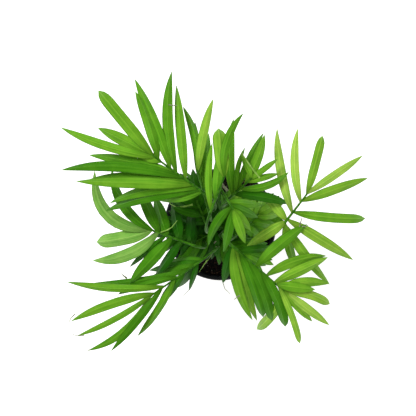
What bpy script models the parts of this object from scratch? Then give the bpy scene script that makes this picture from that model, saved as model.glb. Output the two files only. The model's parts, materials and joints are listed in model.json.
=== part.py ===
"""Parlour palm (Chamaedorea elegans) growing in a round nursery pot.

The pot stands on the ground with its axis on the world Z axis. Six short canes stand in the
soil, and each carries three fronds. A frond is two solids, split where it bends outward: its
petiole, and its blade, which is a rib with a thin leaflet on it for each one that shows, cut down
to the rib between them. Lengths in the tables are millimetres and angles are degrees; turn is
measured from the rib's own heading, positive to the left.
"""
import math

import bmesh
import bpy
from mathutils import Vector
from mathutils.bvhtree import BVHTree

MM = 0.001

# Pot, soil and canes
POT_HEIGHT = 105.0
POT_RIM_RADIUS = 60.0
POT_RIM_DEPTH = 9.0
POT_TOP_RADIUS = 57.6
POT_BASE_RADIUS = 42.0
POT_WALL = 1.6
POT_FLOOR = 2.2
POT_SIDES = 40
DRAIN_COUNT = 6
DRAIN_RADIUS = 4.0
DRAIN_CIRCLE = 29.0
SOIL_TOP = 97.0
CLEARANCE = 0.3
CANE_RADIUS = 4.9
CANE_SIDES = 9
FOOT_CIRCLE = 2.75

# Canes: place on the soil and height above it
CANES = [
    ("cane_back", 6.0, 20.0, 34.0),
    ("cane_back_left", -17.0, 13.0, 30.0),
    ("cane_front_left", -20.0, -9.0, 24.0),
    ("cane_front", -1.0, -20.0, 22.0),
    ("cane_front_right", 18.0, -11.0, 27.0),
    ("cane_middle", 1.0, 1.0, 36.0),
]

# Petiole and rib radii
FOOT_RADIUS = 1.5
NECK_RADIUS = 1.3
TIP_RADIUS = 0.85
RIB_SIDES = 5

# Leaflets
LEAF_SEGMENTS = 4
LEAF_THICKNESS = 0.0118
LEAST_THICKNESS = 0.7
STRONG_BOW = 10.0
LEAF_FOLD = 0.10
ROOT_WIDTH = 1.1
ARCH = 0.10
LEAF_GAP = 0.45
NUDGES = (0.0, 3.0, -3.0, 6.0, -6.0, 9.0, -9.0, 12.0, -12.0, 16.0, -16.0, 20.0)
SHORT_LEAF = 60.0

# Large fronds, measured by eye. base is where the leaflets begin, run and rise lead from there to
# the end of the rib, and foot is the side of the cane that the petiole leaves. sag is how far the
# tips of the leaflets hang at the rib's base and at its end, and width is a plain leaflet's.
# Each leaflet is its place along the rib, its turn and its reach, and where it differs a sideways
# bow, a share of the width, a lift of its tip, or a blunt tip that curls over.
FRONDS = [
    dict(name="frond_upper_left", cane=1, foot=150, base=(-19, 33, 286), heading=144, run=58, rise=6,
         sag=(42, 18), width=10, leaflets=[
             (0.32, -48, 92, dict(share=0.9)), (0.50, -51, 98, dict(bow=6)), (0.62, -32, 93, dict(bow=-2)),
             (0.86, -35, 69, dict(bow=-3)), (0.96, -14, 82, dict(share=1.1, blunt=True)),
             (1.0, 9, 58, dict(share=1.1)), (0.80, 13, 37), (0.92, 18, 95, dict(bow=4, share=0.85)),
             (0.44, 23, 90, dict(bow=-2)),
             (0.36, 32, 118, dict(bow=-7)), (0.24, 34, 98, dict(bow=-3)), (0.18, 34, 112),
             (0.08, 45, 86, dict(bow=-6, lift=4)),
             (0.04, 48, 94, dict(bow=-4)), (0.0, 38, 54, dict(bow=6, share=0.7, lift=-6)),
             (0.13, 32, 57, dict(share=0.7, lift=-9))]),
    dict(name="frond_crown", cane=5, foot=170, base=(-11, 14, 298), heading=69, run=35, rise=16,
         sag=(6, 15), width=9, leaflets=[
             (0.04, 20, 63, dict(bow=3, share=0.7)), (0.96, 27, 46, dict(share=1.4, blunt=True)),
             (1.0, 4, 61, dict(bow=7, share=0.8)), (0.35, 15, 46)]),
    dict(name="frond_front", cane=5, foot=50, base=(0, 33, 290), heading=-60, run=20, rise=10,
         sag=(42, 26), width=8.5, leaflets=[
             (0.82, -60, 42, dict(bow=-4)), (0.96, -42, 41), (1.0, -10, 33), (0.92, 10, 27),
             (0.72, 36, 29), (0.55, 55, 32)]),
    dict(name="frond_top_right", cane=0, foot=60, base=(10, 30, 268), heading=42, run=24, rise=8,
         sag=(27, 12), width=9.5, leaflets=[
             (0.0, 47, 74, dict(bow=4)), (0.20, 23, 63, dict(bow=2, share=0.7)),
             (0.64, 26, 51, dict(bow=-2)), (0.16, 36, 44, dict(bow=3, share=0.5)),
             (1.0, 72, 25, dict(share=0.6)), (0.90, -5, 33, dict(share=0.6)),
             (0.76, -27, 31, dict(share=0.65)), (0.38, -23, 50, dict(bow=-6, share=0.75)),
             (0.06, -52, 55, dict(bow=2))]),
    dict(name="frond_top", cane=1, foot=30, base=(-14, 20, 260), heading=106, run=35, rise=16,
         sag=(34, 20), width=8.5, leaflets=[
             (0.80, -3, 70, dict(bow=-5)), (0.72, -11, 57, dict(share=0.75)),
             (0.58, -8, 50, dict(share=0.85, lift=-12)), (0.95, -28, 72, dict(bow=2)),
             (0.46, -22, 55), (0.05, -15, 43, dict(bow=2))]),
    dict(name="frond_right", cane=4, foot=30, base=(59, 2, 248), heading=53, run=37, rise=8,
         sag=(34, 13), width=9, leaflets=[
             (0.37, 46, 84, dict(bow=4)), (0.72, 38, 72, dict(bow=5, share=0.9)),
             (0.98, 21, 59, dict(share=0.9, blunt=True)), (1.0, -19, 66, dict(share=0.85)),
             (0.75, -34, 70), (0.40, -58, 73, dict(bow=-2, blunt=True)), (0.16, -84, 78, dict(share=1.1)),
             (0.02, -105, 77, dict(bow=-2)), (0.05, -126, 48, dict(bow=-2)),
             (0.10, 160, 44, dict(share=1.15, lift=12)), (0.13, 75, 36)]),
    dict(name="frond_lower_right", cane=4, foot=-90, base=(9, -18, 256), heading=-41, run=71, rise=-6,
         sag=(28, 15), width=9.5, leaflets=[
             (0.01, -62, 38), (0.03, -34, 74, dict(bow=-6, lift=12)), (0.07, -32, 75, dict(bow=-2)),
             (0.15, -29, 68, dict(bow=1, blunt=True)), (0.28, -27, 66, dict(bow=3, blunt=True)),
             (0.52, -25, 61, dict(bow=3, blunt=True)), (0.84, -28, 61, dict(bow=2, share=0.65, blunt=True)),
             (0.92, -6, 43, dict(share=0.85)), (0.97, 4, 54, dict(share=0.85)),
             (0.94, 24, 48, dict(bow=4, share=0.9, blunt=True)), (0.88, 45, 47, dict(bow=4)),
             (0.80, 33, 38), (0.76, 65, 58, dict(share=1.1)), (0.62, 58, 62, dict(bow=5)),
             (0.43, 80, 64, dict(bow=2, share=1.2)), (0.11, 46, 36, dict(share=0.75)),
             (0.21, 16, 25, dict(share=0.8)), (0.96, -81, 48, dict(bow=2, lift=-28, blunt=True))]),
    dict(name="frond_mid_left", cane=2, foot=202, base=(-27, -19, 226), heading=160, run=45, rise=-2,
         sag=(33, 19), width=11, leaflets=[
             (0.99, -26, 82, dict(bow=20, share=1.1)), (0.95, -36, 74, dict(bow=10, share=0.9)),
             (0.81, -45, 50), (0.62, -51, 41, dict(share=1.1)), (0.33, -59, 40),
             (0.09, -72, 36, dict(share=0.9)), (0.97, 32, 58, dict(bow=2, share=1.25, blunt=True)),
             (0.83, 43, 72, dict(bow=8, share=1.1)), (0.65, 61, 49, dict(share=0.55)),
             (0.51, 67, 63, dict(share=1.1)), (0.30, 74, 46, dict(share=0.8))]),
    dict(name="frond_lower_left", cane=3, foot=216, base=(-17, -32, 214), heading=-145, run=65, rise=-4,
         sag=(33, 13), width=9, leaflets=[
             (0.02, -28, 44), (0.09, -24, 52), (0.16, -17, 50), (0.28, -26, 99, dict(bow=4, share=0.8)),
             (0.49, -18, 64, dict(bow=-2, share=0.75)), (0.74, -37, 99, dict(bow=4, share=0.9)),
             (0.93, -16, 89, dict(bow=-4)), (0.96, -6, 88, dict(bow=3, share=0.7)),
             (1.0, 6, 85, dict(bow=9, share=0.85)), (0.78, 16, 82, dict(bow=1, share=0.85)),
             (0.55, 22, 70, dict(bow=3, share=0.85)),
             (0.12, 38, 30, dict(share=0.6)), (0.37, 18, 45), (0.20, 21, 28)]),
    dict(name="frond_inner_right", cane=4, foot=150, base=(18, -6, 206), heading=44, run=26, rise=4,
         sag=(30, 25), width=9.5, leaflets=[
             (1.0, -15, 24), (0.9, -41, 25), (0.62, -56, 27), (0.3, -83, 22), (0.84, 20, 25),
             (0.55, 35, 25), (0.17, 51, 26)]),
]

# Young fronds inside the crown: cane, foot, lean of the petiole, heading and height of the blade
YOUNG = [
    (0, 180, 150, 150, 190), (0, 300, 5, 0, 172), (1, 270, 205, 205, 184), (2, 322, 335, 320, 152),
    (3, 336, 350, 320, 148), (5, 290, 222, 207, 176), (2, 82, 112, 112, 208), (3, 96, 60, 60, 168),
]
YOUNG_PAIRS = 7
YOUNG_INSET = 0.62
YOUNG_LEAN = 9.0
YOUNG_RUN = 24.0
YOUNG_RISE = 9.0
YOUNG_REACH = 33.0
YOUNG_WIDTH = 8.4
YOUNG_SAG = 17.0


def material(name, colour, roughness):
    mat = bpy.data.materials.new(name)
    mat.use_nodes = True
    shader = mat.node_tree.nodes["Principled BSDF"]
    shader.inputs["Base Color"].default_value = (*colour, 1.0)
    shader.inputs["Roughness"].default_value = roughness
    return mat


def pot_material():
    return material("pot_plastic", (0.012, 0.014, 0.022), 0.42)


def soil_material():
    return material("soil", (0.020, 0.012, 0.009), 0.95)


def cane_material():
    return material("cane", (0.10, 0.17, 0.04), 0.55)


def petiole_material():
    return material("petiole", (0.10, 0.24, 0.03), 0.45)


def leaf_material():
    return material("leaf", (0.11, 0.32, 0.03), 0.38)


def add_object(name, bm, mat, smooth=True):
    mesh = bpy.data.meshes.new(name)
    bmesh.ops.recalc_face_normals(bm, faces=bm.faces)
    bm.to_mesh(mesh)
    bm.free()
    mesh.materials.append(mat)
    for face in mesh.polygons:
        face.use_smooth = smooth
    obj = bpy.data.objects.new(name, mesh)
    bpy.context.scene.collection.objects.link(obj)
    return obj


def lathe(profile, sides):
    """Closed body of revolution about Z; the profile starts and ends on the axis."""
    bm = bmesh.new()
    rings = []
    for radius, height in profile:
        if radius < 1e-6:
            rings.append([bm.verts.new((0, 0, height * MM))])
            continue
        rings.append([bm.verts.new((radius * MM * math.cos(2 * math.pi * k / sides),
                                    radius * MM * math.sin(2 * math.pi * k / sides),
                                    height * MM)) for k in range(sides)])
    for low, high in zip(rings, rings[1:]):
        for k in range(sides):
            j = (k + 1) % sides
            if len(low) == 1:
                bm.faces.new((low[0], high[k], high[j]))
            elif len(high) == 1:
                bm.faces.new((low[k], low[j], high[0]))
            else:
                bm.faces.new((low[k], low[j], high[j], high[k]))
    return bm


def cylinder(name, radius, bottom, top, x, y, sides):
    bm = lathe([(0, bottom), (radius, bottom), (radius, top), (0, top)], sides)
    bmesh.ops.translate(bm, verts=bm.verts, vec=(x * MM, y * MM, 0))
    return add_object(name, bm, soil_material())


def wall_radius(height):
    """Outside radius of the tapering wall at a height."""
    return POT_BASE_RADIUS + (POT_TOP_RADIUS - POT_BASE_RADIUS) * height / POT_HEIGHT


def build_pot():
    lip = POT_HEIGHT - POT_RIM_DEPTH
    inner_top = POT_TOP_RADIUS - POT_WALL
    inner_low = wall_radius(POT_FLOOR) - POT_WALL
    profile = [
        (0, 0), (POT_BASE_RADIUS - 1.2, 0), (POT_BASE_RADIUS, 1.2),
        (wall_radius(lip - 0.8), lip - 0.8), (POT_RIM_RADIUS - 0.6, lip),
        (POT_RIM_RADIUS, lip + 0.8), (POT_RIM_RADIUS, POT_HEIGHT - 1.0),
        (POT_RIM_RADIUS - 1.0, POT_HEIGHT), (inner_top + 0.9, POT_HEIGHT),
        (inner_top, POT_HEIGHT - 0.9), (inner_low, POT_FLOOR), (0, POT_FLOOR)]
    pot = add_object("pot", lathe(profile, POT_SIDES), pot_material())
    cutters = []
    for k in range(DRAIN_COUNT):
        angle = 2 * math.pi * (k + 0.5) / DRAIN_COUNT
        cutters.append(cylinder("drain_cutter", DRAIN_RADIUS, -3.0, POT_FLOOR + 3.0,
                                DRAIN_CIRCLE * math.cos(angle), DRAIN_CIRCLE * math.sin(angle), 12))
    combine(pot, cutters, "DIFFERENCE")
    return pot


def build_soil():
    low = POT_FLOOR + CLEARANCE
    bottom = wall_radius(low) - POT_WALL - CLEARANCE - 0.1
    top = POT_TOP_RADIUS - POT_WALL - CLEARANCE - 0.1 - 1.1
    profile = [(0, low), (bottom, low), (top, SOIL_TOP - 1.6), (top - 2.0, SOIL_TOP - 0.6),
               (top - 12.0, SOIL_TOP), (0, SOIL_TOP)]
    return add_object("soil", lathe(profile, POT_SIDES), soil_material(), smooth=False)


def build_cane(name, x, y, height):
    foot = SOIL_TOP + CLEARANCE
    profile = [(0, foot), (CANE_RADIUS, foot)]
    for k in (1, 2):
        ring = foot + height * k / 3
        radius = CANE_RADIUS - 0.12 * k
        profile += [(radius, ring - 1.0), (radius + 0.45, ring), (radius - 0.1, ring + 0.9)]
    profile += [(CANE_RADIUS - 0.35, foot + height), (0, foot + height)]
    bm = lathe(profile, CANE_SIDES)
    bmesh.ops.translate(bm, verts=bm.verts, vec=(x * MM, y * MM, 0))
    return add_object(name, bm, cane_material())


def flat_direction(heading):
    return Vector((math.cos(math.radians(heading)), math.sin(math.radians(heading)), 0))


def petiole_foot(frond):
    """Point 0.3 mm above the top of the cane that carries the frond."""
    _, x, y, height = CANES[frond["cane"]]
    return (Vector((x, y, SOIL_TOP + 2 * CLEARANCE + height))
            + FOOT_CIRCLE * flat_direction(frond["foot"]))


def rib_path(frond, bow):
    """Petiole from the cane to the first leaflets, and the rib on to its end."""
    foot = petiole_foot(frond)
    base = Vector(frond["base"])
    ahead = flat_direction(frond["heading"])
    end = base + ahead * frond["run"] + Vector((0, 0, frond["rise"]))
    entry = (ahead + Vector((0, 0, 0.55))).normalized()
    span = (base - foot).length
    lift = foot + Vector((bow[0], bow[1], 0.5 * span))
    near = base - entry * 0.26 * span
    path = []
    steps = 6
    for k in range(steps):
        t = k / steps
        path.append((1 - t) ** 3 * foot + 3 * (1 - t) ** 2 * t * lift
                    + 3 * (1 - t) * t * t * near + t ** 3 * base)
    middle = (base + end) / 2 + Vector((0, 0, 0.07 * frond["run"]))
    for k in range(4):
        t = k / 3
        path.append((1 - t) ** 2 * base + 2 * (1 - t) * t * middle + t * t * end)
    return path, steps


def rib_point(path, steps, along):
    position = steps + along * (len(path) - 1 - steps)
    k = min(int(position), len(path) - 2)
    return path[k].lerp(path[k + 1], position - k)


def rib_radii(path, steps):
    last = len(path) - 1
    return [FOOT_RADIUS + (NECK_RADIUS - FOOT_RADIUS) * k / steps if k < steps
            else NECK_RADIUS + (TIP_RADIUS - NECK_RADIUS) * (k - steps) / (last - steps)
            for k in range(last + 1)]


def tube(path, radii, sides, first, last):
    """Closed tube with its end faces square to the directions first and last."""
    bm = bmesh.new()
    rings = []
    side = Vector((1, 0, 0))
    for k, point in enumerate(path):
        along = (path[min(k + 1, len(path) - 1)] - path[max(k - 1, 0)]).normalized()
        if k == 0:
            along = first
        elif k == len(path) - 1:
            along = last
        side = (side - along * side.dot(along)).normalized()
        other = along.cross(side)
        rings.append([bm.verts.new((point + radii[k] * (
            side * math.cos(2 * math.pi * j / sides) + other * math.sin(2 * math.pi * j / sides)))
            * MM) for j in range(sides)])
    for low, high in zip(rings, rings[1:]):
        for j in range(sides):
            i = (j + 1) % sides
            bm.faces.new((low[j], low[i], high[i], high[j]))
    bm.faces.new(list(reversed(rings[0])))
    bm.faces.new(rings[-1])
    return bm


def frond_tubes(path, steps, radii, sides):
    """Petiole and rib, parted by the usual clearance at the bend."""
    bend = steps - 1
    square = (path[bend + 1] - path[bend - 1]).normalized()
    half = square * CLEARANCE / 2
    lower = path[:bend] + [path[bend] - half]
    upper = [path[bend] + half] + path[bend + 1:]
    tip = (path[-1] - path[-2]).normalized()
    return (tube(lower, radii[:bend + 1], sides, Vector((0, 0, 1)), square),
            tube(upper, radii[bend:], sides, square, tip))


def stations(segments):
    """Places along a leaflet, closer together towards its two ends."""
    return [0.5 - 0.5 * math.copysign(abs(1 - 2 * k / segments) ** 0.75, 1 - 2 * k / segments)
            for k in range(segments + 1)]


def leaf_path(start, leaf, nudge, segments):
    """Middle line of a leaflet, arching a little and then drooping to its tip."""
    ahead = leaf["reach"] * flat_direction(leaf["heading"])
    aside = leaf["bow"] * flat_direction(leaf["heading"] + 90)
    points = []
    for u in stations(segments):
        arch = 4 * u * (1 - u)
        height = 0.6 * ARCH * leaf["reach"] * arch - leaf["drop"] * u ** 1.6 + nudge * u ** 0.8
        points.append(start + ahead * u + aside * arch + Vector((0, 0, height)))
    return points


def leaf_width(u, width, blunt):
    """Narrow root, then a strap that tapers over its outer part, later on a blunt leaflet."""
    if u < 0.25:
        return ROOT_WIDTH + (width - ROOT_WIDTH) * math.sin(math.pi / 2 * u / 0.25) ** 0.7
    return width * (1 - ((u - 0.25) / 0.75) ** (6.5 if blunt else 3.6))


def leaf_blade(points, width, blunt, thickness, spare):
    """Closed blade with a ridge along the middle; spare thickens it for the clearance test."""
    bm = bmesh.new()
    rings = []
    last = len(points) - 1
    places = stations(last)
    for k in range(last):
        ahead = points[k + 1] - points[max(k - 1, 0)]
        side = Vector((-ahead.y, ahead.x, 0)).normalized()
        up = side.cross(ahead).normalized() * -1
        if up.z < 0:
            up.negate()
        half = leaf_width(places[k], width, blunt) / 2 + spare
        thick = thickness / 2 * (0.75 if k == 0 else 1.0) + spare
        fold = 0.0 if k == 0 else LEAF_FOLD * half * 2
        rings.append([bm.verts.new(p * MM) for p in (
            points[k] + side * half - up * fold, points[k] + up * thick,
            points[k] - side * half - up * fold, points[k] - up * thick)])
    tip = bm.verts.new(points[-1] * MM)
    for low, high in zip(rings, rings[1:]):
        for j in range(4):
            i = (j + 1) % 4
            bm.faces.new((low[j], low[i], high[i], high[j]))
    for j in range(4):
        bm.faces.new((rings[-1][j], rings[-1][(j + 1) % 4], tip))
    bm.faces.new(list(reversed(rings[0])))
    bmesh.ops.triangulate(bm, faces=bm.faces)
    return bm


def search_tree(bm):
    tree = BVHTree.FromBMesh(bm)
    bm.free()
    return tree


def young_fronds():
    """Short upright fronds of the inner crown, with their leaflets in pairs along the rib."""
    fronds = []
    for number, (cane, foot, lean, heading, height) in enumerate(YOUNG):
        _, x, y, _ = CANES[cane]
        base = YOUNG_INSET * Vector((x, y, 0)) + YOUNG_LEAN * flat_direction(lean)
        leaflets = []
        for pair in range(YOUNG_PAIRS):
            along = 0.96 * pair / (YOUNG_PAIRS - 1)
            turn = 62 - 44 * along + 5 * math.sin(3 * number + pair)
            reach = YOUNG_REACH * (0.82 + 0.36 * along * (1.4 - along))
            lift = 3 * math.cos(5 * number + pair)
            leaflets += [(along, turn, reach, dict(lift=lift)),
                         (along + 0.04, -turn, reach, dict(lift=lift))]
        fronds.append(dict(name="young_frond_%d" % (number + 1), cane=cane, foot=foot,
                           base=(base.x, base.y, height), heading=heading, run=YOUNG_RUN,
                           rise=YOUNG_RISE, sag=(YOUNG_SAG, YOUNG_SAG), width=YOUNG_WIDTH,
                           leaflets=leaflets))
    return fronds


def leaflet_sizes(frond, along, turn, reach, changes=None):
    """One leaflet in full: its tip hangs less the further out it grows and the shorter it is."""
    changes = changes or {}
    low, high = frond["sag"]
    drop = (low + (high - low) * along) * min(1.0, 0.5 + 0.5 * reach / SHORT_LEAF)
    return dict(along=along, heading=frond["heading"] + turn, reach=reach,
                drop=drop - changes.get("lift", 0.0), bow=changes.get("bow", 0.0),
                width=frond["width"] * changes.get("share", 1.0),
                blunt=changes.get("blunt", False))


def settle_ribs(fronds):
    """Bow each petiole outward in steps until it and its rib are clear of the others."""
    placed = []
    for frond in fronds:
        for ring, k in [(ring, k) for ring in range(6) for k in range(8 if ring else 1)]:
            bow = (ring * 3.5 * math.cos(k * math.pi / 4), ring * 3.5 * math.sin(k * math.pi / 4))
            path, steps = rib_path(frond, bow)
            radii = [r + LEAF_GAP for r in rib_radii(path, steps)]
            radii[0] = FOOT_RADIUS + 0.1
            trees = [search_tree(bm) for bm in frond_tubes(path, steps, radii, RIB_SIDES + 1)]
            if not any(tree.overlap(other) for tree in trees for pair in placed for other in pair):
                break
        else:
            print("rib still touching:", frond["name"])
        placed.append(trees)
        frond["path"], frond["steps"] = path, steps
    return placed


def settle_leaflets(fronds, ribs):
    """Raise or lower each leaflet in steps until it is clear of every other frond."""
    others = []
    skipped = 0
    for number, frond in enumerate(fronds):
        frond["blades"] = []
        for row in frond["leaflets"]:
            leaf = leaflet_sizes(frond, *row)
            start = rib_point(frond["path"], frond["steps"], leaf["along"])
            segments = LEAF_SEGMENTS + (2 if abs(leaf["bow"]) > STRONG_BOW else 0)
            thickness = max(LEAST_THICKNESS, LEAF_THICKNESS * leaf["reach"])
            outline = (leaf["width"], leaf["blunt"], thickness)
            for nudge in NUDGES:
                points = leaf_path(start, leaf, nudge, segments)
                tree = search_tree(leaf_blade(points, *outline, LEAF_GAP))
                outer = search_tree(leaf_blade([points[0].lerp(points[1], 0.8)] + points[1:],
                                               *outline, 0.1))
                if tree.overlap(ribs[number][0]):
                    continue
                if any(k != number and (tree.overlap(low) or tree.overlap(high))
                       for k, (low, high) in enumerate(ribs)):
                    continue
                if any(k != number and tree.overlap(other) for k, other in others):
                    continue
                if any(k == number and outer.overlap(other) for k, other in others) and nudge < 16:
                    continue
                others.append((number, tree))
                frond["blades"].append((points, *outline))
                break
            else:
                skipped += 1
    print("leaflets skipped:", skipped)


def combine(target, pieces, operation):
    """One Boolean with all the pieces in a collection, applied; the pieces are removed."""
    group = bpy.data.collections.new(target.name + "_pieces")
    for piece in pieces:
        bpy.context.scene.collection.objects.unlink(piece)
        group.objects.link(piece)
    bpy.context.scene.collection.children.link(group)
    modifier = target.modifiers.new("join", "BOOLEAN")
    modifier.operation = operation
    modifier.operand_type = "COLLECTION"
    modifier.collection = group
    modifier.solver = "EXACT"
    depsgraph = bpy.context.evaluated_depsgraph_get()
    mesh = bpy.data.meshes.new_from_object(target.evaluated_get(depsgraph), depsgraph=depsgraph)
    target.modifiers.clear()
    target.data = mesh
    mesh.name = target.name
    for piece in pieces:
        bpy.data.objects.remove(piece)
    bpy.data.collections.remove(group)


def build_frond(frond, stem, leaf):
    path, steps = frond["path"], frond["steps"]
    lower, upper = frond_tubes(path, steps, rib_radii(path, steps), RIB_SIDES)
    add_object(frond["name"].replace("frond", "petiole"), lower, stem)
    obj = add_object(frond["name"], upper, leaf)
    pieces = [add_object("leaflet", leaf_blade(*blade, 0.0), leaf) for blade in frond["blades"]]
    combine(obj, pieces, "UNION")
    return obj


def main():
    for obj in list(bpy.data.objects):
        bpy.data.objects.remove(obj)
    build_pot()
    build_soil()
    for cane in CANES:
        build_cane(*cane)
    stem, leaf = petiole_material(), leaf_material()
    fronds = FRONDS + young_fronds()
    ribs = settle_ribs(fronds)
    settle_leaflets(fronds, ribs)
    for frond in fronds:
        build_frond(frond, stem, leaf)


main()
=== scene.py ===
import json
import math
import random

import bmesh
import bpy
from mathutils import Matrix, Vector, noise
from mathutils.bvhtree import BVHTree

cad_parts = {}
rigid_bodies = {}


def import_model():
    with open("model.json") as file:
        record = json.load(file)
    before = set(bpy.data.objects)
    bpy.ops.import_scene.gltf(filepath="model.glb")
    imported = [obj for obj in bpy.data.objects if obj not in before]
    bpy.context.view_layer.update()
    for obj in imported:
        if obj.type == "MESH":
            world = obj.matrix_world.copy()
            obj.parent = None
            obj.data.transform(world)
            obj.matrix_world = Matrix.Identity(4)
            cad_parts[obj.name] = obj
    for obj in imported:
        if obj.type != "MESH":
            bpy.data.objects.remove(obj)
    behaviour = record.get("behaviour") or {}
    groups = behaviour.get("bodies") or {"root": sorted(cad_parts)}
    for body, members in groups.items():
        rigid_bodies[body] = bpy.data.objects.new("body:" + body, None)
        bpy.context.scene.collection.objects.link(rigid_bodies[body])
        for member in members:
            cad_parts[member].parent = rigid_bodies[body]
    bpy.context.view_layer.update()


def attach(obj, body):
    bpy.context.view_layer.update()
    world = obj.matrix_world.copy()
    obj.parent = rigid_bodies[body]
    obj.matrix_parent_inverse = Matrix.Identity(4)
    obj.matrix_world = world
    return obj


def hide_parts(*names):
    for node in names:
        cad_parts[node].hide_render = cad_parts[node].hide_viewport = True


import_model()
mm = 0.001


# helpers for objects and shaders

def linkObject(name, data):
    obj = bpy.data.objects.new(name, data)
    bpy.context.scene.collection.objects.link(obj)
    return obj


def plainMesh(obj, name):
    depsgraph = bpy.context.evaluated_depsgraph_get()
    mesh = bpy.data.meshes.new_from_object(obj.evaluated_get(depsgraph), depsgraph=depsgraph)
    mesh.name = name
    return mesh


def scaled(tint, gains):
    return tuple(t * g for t, g in zip(tint, gains))


class Graph:
    def __init__(self, name):
        self.material = bpy.data.materials.new(name)
        self.material.use_nodes = True
        self.tree = self.material.node_tree
        self.shader = self.tree.nodes["Principled BSDF"]

    def node(self, kind, **settings):
        made = self.tree.nodes.new(kind)
        for key, value in settings.items():
            setattr(made, key, value)
        return made

    def feed(self, socket, value):
        if isinstance(value, bpy.types.NodeSocket):
            self.tree.links.new(value, socket)
        elif isinstance(value, (tuple, list)) and len(value) == 3 and socket.type == "RGBA":
            socket.default_value = (*value, 1.0)
        else:
            socket.default_value = value

    def math(self, operation, first, second=0.0, clamp=False):
        made = self.node("ShaderNodeMath", operation=operation, use_clamp=clamp)
        self.feed(made.inputs[0], first)
        self.feed(made.inputs[1], second)
        return made.outputs[0]

    def blend(self, amount, first, second, mode="MIX"):
        # the mix node has its colours on inputs 6 and 7 and on output 2
        made = self.node("ShaderNodeMix", data_type="RGBA", blend_type=mode)
        self.feed(made.inputs[0], amount)
        self.feed(made.inputs[6], first)
        self.feed(made.inputs[7], second)
        return made.outputs[2]

    def ramp(self, value, low, high, lowOut=0.0, highOut=1.0):
        made = self.node("ShaderNodeMapRange", interpolation_type="SMOOTHSTEP")
        for key, number in zip(("Value", "From Min", "From Max", "To Min", "To Max"),
                               (value, low, high, lowOut, highOut)):
            self.feed(made.inputs[key], number)
        return made.outputs[0]

    def parts(self, vector):
        split = self.node("ShaderNodeSeparateXYZ")
        self.feed(split.inputs[0], vector)
        return split.outputs

    def grain(self, scale, detail=2.0, stretch=None, roughness=0.5, place=None):
        place = place or self.node("ShaderNodeTexCoord").outputs["Object"]
        if stretch:
            mapping = self.node("ShaderNodeMapping")
            self.feed(mapping.inputs["Vector"], place)
            mapping.inputs["Scale"].default_value = stretch
            place = mapping.outputs[0]
        made = self.node("ShaderNodeTexNoise")
        self.feed(made.inputs["Vector"], place)
        made.inputs["Scale"].default_value = scale
        made.inputs["Detail"].default_value = detail
        made.inputs["Roughness"].default_value = roughness
        return made.outputs["Fac"]

    def relief(self, height, distance, strength=0.5):
        made = self.node("ShaderNodeBump")
        made.inputs["Strength"].default_value = strength
        made.inputs["Distance"].default_value = distance
        self.feed(made.inputs["Height"], height)
        self.feed(self.shader.inputs["Normal"], made.outputs[0])

    def coat(self, colour, roughness, gloss=0.5, glossTint=(1.0, 1.0, 1.0)):
        for name, value in (("Base Color", colour), ("Roughness", roughness),
                            ("Specular IOR Level", gloss), ("Specular Tint", glossTint)):
            self.feed(self.shader.inputs[name], value)


# camera straight above the crown, lights and floor

studio = dict(
    cameraPlace=(-0.0134, 0.0177, 1.458), lens=109.17, sensor=36.0,
    worldColour=(1.0, 0.985, 0.92), worldStrength=0.56, lightTarget=(0, 0, 0.2),
    keyPlace=(-0.70, 0.60, 1.75), keySize=0.55, keyPower=22.0,
    fillPlace=(0.9, -0.6, 1.3), fillSize=1.2, fillPower=3.0,
    floorSize=7.0, floorColour=(0.93, 0.93, 0.93), floorRoughness=0.9, floorGlow=0.60)


def aimedLight(name):
    data = bpy.data.lights.new(name + "Light", "AREA")
    data.shape = "DISK"
    data.size = studio[name + "Size"]
    data.energy = studio[name + "Power"]
    light = linkObject(name + "Light", data)
    light.location = studio[name + "Place"]
    aim = Vector(studio["lightTarget"]) - Vector(studio[name + "Place"])
    light.rotation_euler = aim.to_track_quat("-Z", "Y").to_euler()


def buildStudio():
    scene = bpy.context.scene
    cameraData = bpy.data.cameras.new("overheadCamera")
    cameraData.sensor_width = studio["sensor"]
    cameraData.lens = studio["lens"]
    scene.camera = linkObject("overheadCamera", cameraData)
    scene.camera.location = studio["cameraPlace"]
    scene.view_settings.view_transform = "Standard"
    world = bpy.data.worlds.new("softRoom")
    world.use_nodes = True
    sky = world.node_tree.nodes["Background"]
    sky.inputs["Color"].default_value = (*studio["worldColour"], 1.0)
    sky.inputs["Strength"].default_value = studio["worldStrength"]
    scene.world = world
    aimedLight("key")
    aimedLight("fill")
    half = studio["floorSize"] / 2
    mesh = bpy.data.meshes.new("floor")
    mesh.from_pydata([(-half, -half, 0), (half, -half, 0), (half, half, 0), (-half, half, 0)],
                     [], [(0, 1, 2, 3)])
    paper = Graph("whitePaper")
    paper.coat(studio["floorColour"], studio["floorRoughness"])
    paper.feed(paper.shader.inputs["Emission Color"], (1.0, 1.0, 1.0))
    paper.feed(paper.shader.inputs["Emission Strength"], studio["floorGlow"])
    mesh.materials.append(paper.material)
    linkObject("floor", mesh)


buildStudio()
print("studio ready")


# leaf finishes: a plain base green for each kind of leaflet, with veins along the blade. The
# kinds a to i run from dark to light. They are partly the leaflets' own greens and partly painted
# shade and painted light: the dark kinds stand for leaflets in the crown's shade, and the light
# ones for sunlit leaflets. p is a paler green.

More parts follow.
